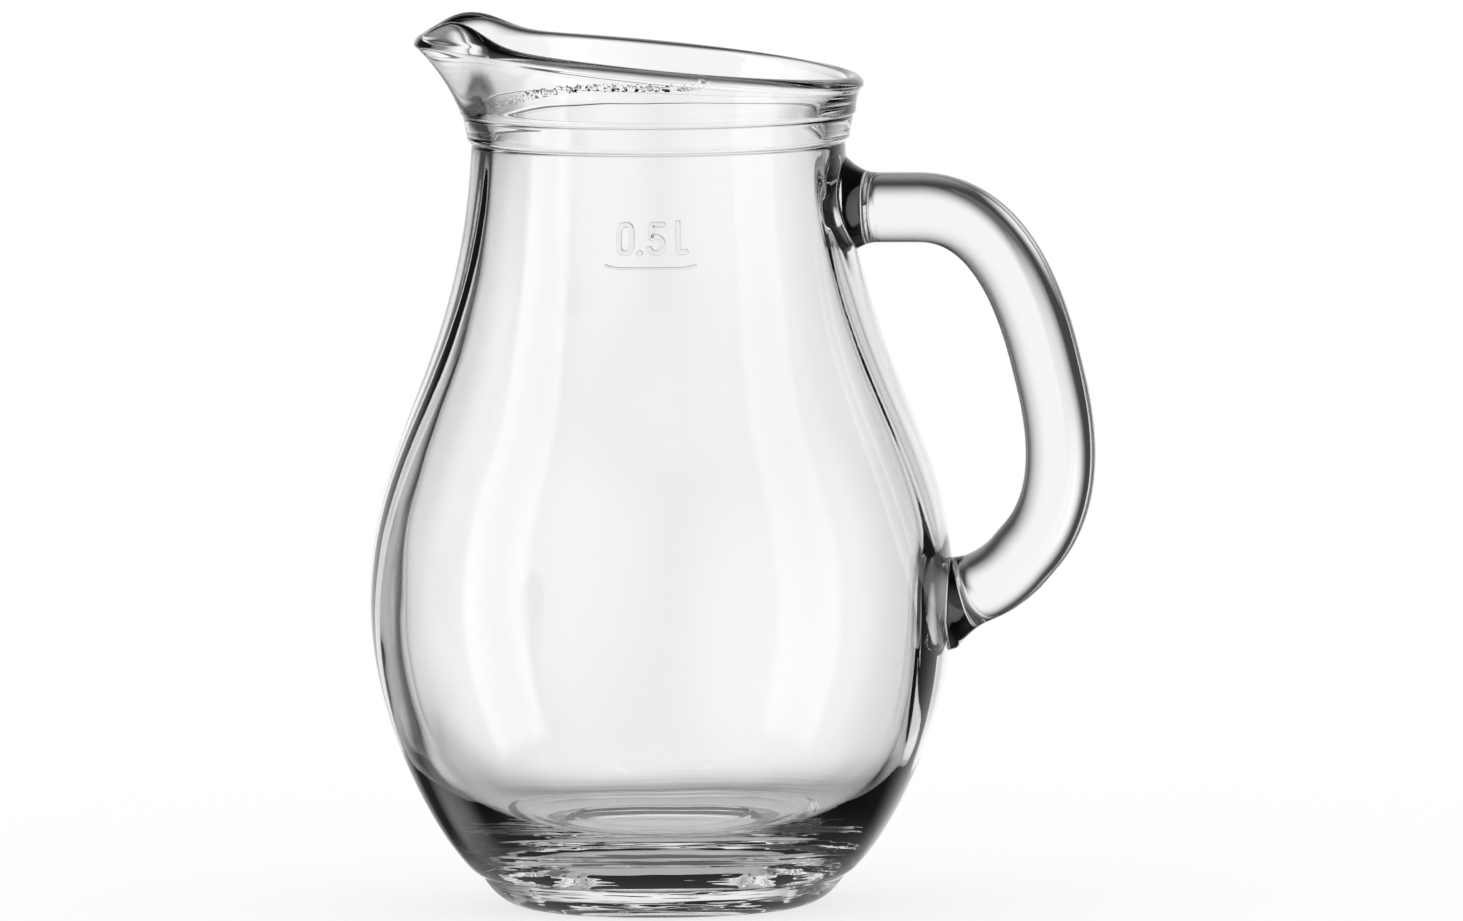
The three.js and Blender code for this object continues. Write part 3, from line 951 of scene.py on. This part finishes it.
def floor_material():
    """White paper that keeps the jug's soft shadow; glass looks past it to the studio's panels, except
    round the jug's foot, where glass sees a painted shade that stands in for that shadow, darkest at the
    bearing ring.
    """
    material, tree = new_material("studio_floor")
    paper = add_node(tree, "ShaderNodeBsdfDiffuse")
    paper.inputs["Color"].default_value = (PAPER, PAPER, PAPER, 1)
    glow = add_node(tree, "ShaderNodeEmission")
    glow.inputs["Color"].default_value = (1, 1, 1, 1)
    glow.inputs["Strength"].default_value = 1 - PAPER
    sheet = add_node(tree, "ShaderNodeAddShader")
    tree.links.new(paper.outputs[0], sheet.inputs[0])
    tree.links.new(glow.outputs[0], sheet.inputs[1])
    path = add_node(tree, "ShaderNodeLightPath")
    in_glass = seen_in_glass(tree, path)
    beyond = add_node(tree, "ShaderNodeBsdfTransparent")
    # painted shade: a fixed glow that glass sees on the floor round the jug's foot in place of its shadow,
    # darkest at the bearing ring
    shade = add_node(tree, "ShaderNodeEmission")
    shade.inputs["Color"].default_value = (1, 1, 1, 1)
    place = add_node(tree, "ShaderNodeNewGeometry")
    apart = add_node(tree, "ShaderNodeVectorMath", operation="DISTANCE")
    tree.links.new(place.outputs["Position"], apart.inputs[0])
    apart.inputs[1].default_value = (JUG_AXIS, 0, 0)
    middle = (RING_INNER_RADIUS + RING_OUTER_RADIUS) / 2
    off_ring = math_node(tree, "ABSOLUTE", math_node(tree, "SUBTRACT", apart.outputs["Value"], middle))
    half = middle - RING_INNER_RADIUS
    level = map_range(tree, off_ring, half, half + CONTACT_FADE, CONTACT_LEVEL, SHADE_LEVEL)
    tree.links.new(level, shade.inputs["Strength"])
    fade = map_range(tree, apart.outputs["Value"], SHADE_RADIUS, SHADE_END, 0.0, 1.0)
    under = add_node(tree, "ShaderNodeMixShader")
    tree.links.new(fade, under.inputs[0])
    tree.links.new(shade.outputs[0], under.inputs[1])
    tree.links.new(beyond.outputs[0], under.inputs[2])
    mix = add_node(tree, "ShaderNodeMixShader")
    tree.links.new(in_glass, mix.inputs[0])
    tree.links.new(sheet.outputs[0], mix.inputs[1])
    tree.links.new(under.outputs[0], mix.inputs[2])
    output = add_node(tree, "ShaderNodeOutputMaterial")
    tree.links.new(mix.outputs[0], output.inputs["Surface"])
    return material


def make_floor():
    mesh = bpy.data.meshes.new("studio_floor")
    half = FLOOR_HALF_WIDTH
    corners = [(-half, -half, 0), (half, -half, 0), (half, half, 0), (-half, half, 0)]
    mesh.from_pydata(corners, [], [(0, 1, 2, 3)])
    mesh.materials.append(floor_material())
    floor = bpy.data.objects.new("studio_floor", mesh)
    bpy.context.scene.collection.objects.link(floor)


def make_world():
    """Even white light, and for what the glass shows a bright field: white panels between dark gaps."""
    world = bpy.data.worlds.new("studio")
    bpy.context.scene.world = world
    world.use_nodes = True
    tree = world.node_tree
    tree.nodes.clear()
    place = add_node(tree, "ShaderNodeTexCoord")
    parts = add_node(tree, "ShaderNodeSeparateXYZ")
    tree.links.new(place.outputs["Generated"], parts.inputs[0])
    heading = math_node(tree, "ARCTAN2", parts.outputs["Y"], parts.outputs["X"])
    height = math_node(tree, "ARCSINE", parts.outputs["Z"])
    level = map_range(
        tree, height, math.radians(GROUND_FULL), math.radians(GROUND_FROM), GROUND_LEVEL, GAP_LEVEL)
    for aim, spread in PANELS:
        level = math_node(tree, "MAXIMUM", lobe(tree, heading, height, aim, spread), level)
    path = add_node(tree, "ShaderNodeLightPath")
    for aim, half_width, shine in STRIPS:
        lit = math_node(tree, "MULTIPLY", strip(tree, heading, height, aim, half_width), shine)
        lit = math_node(tree, "MULTIPLY", lit, path.outputs["Is Reflection Ray"])
        level = math_node(tree, "ADD", level, lit)
    in_glass = seen_in_glass(tree, path)
    strength = add_node(tree, "ShaderNodeMix", data_type="FLOAT")
    tree.links.new(in_glass, strength.inputs["Factor"])
    strength.inputs["A"].default_value = 1.0
    tree.links.new(level, strength.inputs["B"])
    background = add_node(tree, "ShaderNodeBackground")
    background.inputs["Color"].default_value = (1, 1, 1, 1)
    tree.links.new(strength.outputs[0], background.inputs["Strength"])
    output = add_node(tree, "ShaderNodeOutputWorld")
    tree.links.new(background.outputs[0], output.inputs["Surface"])


def make_camera():
    data = bpy.data.cameras.new("camera")
    data.sensor_width = SENSOR_WIDTH * 1000
    data.lens = data.sensor_width * CAMERA_DISTANCE / FRAME_WIDTH
    data.clip_end = CLIP_END
    camera = bpy.data.objects.new("camera", data)
    sin_a, cos_a = math.sin(CAMERA_AZIMUTH), math.cos(CAMERA_AZIMUTH)
    sin_e, cos_e = math.sin(CAMERA_ELEVATION), math.cos(CAMERA_ELEVATION)
    right = Vector((cos_a, sin_a, 0))
    back = Vector((sin_a * cos_e, -cos_a * cos_e, sin_e))
    up = back.cross(right)
    place = Vector((JUG_AXIS, 0, 0)) + right * AIM_RIGHT + up * AIM_UP + back * CAMERA_DISTANCE
    roll = Matrix.Rotation(-CAMERA_ROLL, 3, back)
    turned = Matrix((roll @ right, roll @ up, back)).transposed()
    camera.matrix_world = Matrix.Translation(place) @ turned.to_4x4()
    bpy.context.scene.collection.objects.link(camera)
    bpy.context.scene.camera = camera


make_vessel(glass_material("vessel_glass", True))
make_handle(glass_material("handle_glass", False), weld_material())
make_fill_mark(glass_material("mark_glass", False))
make_floor()
make_world()
make_camera()
bpy.context.scene.view_settings.view_transform = "Standard"
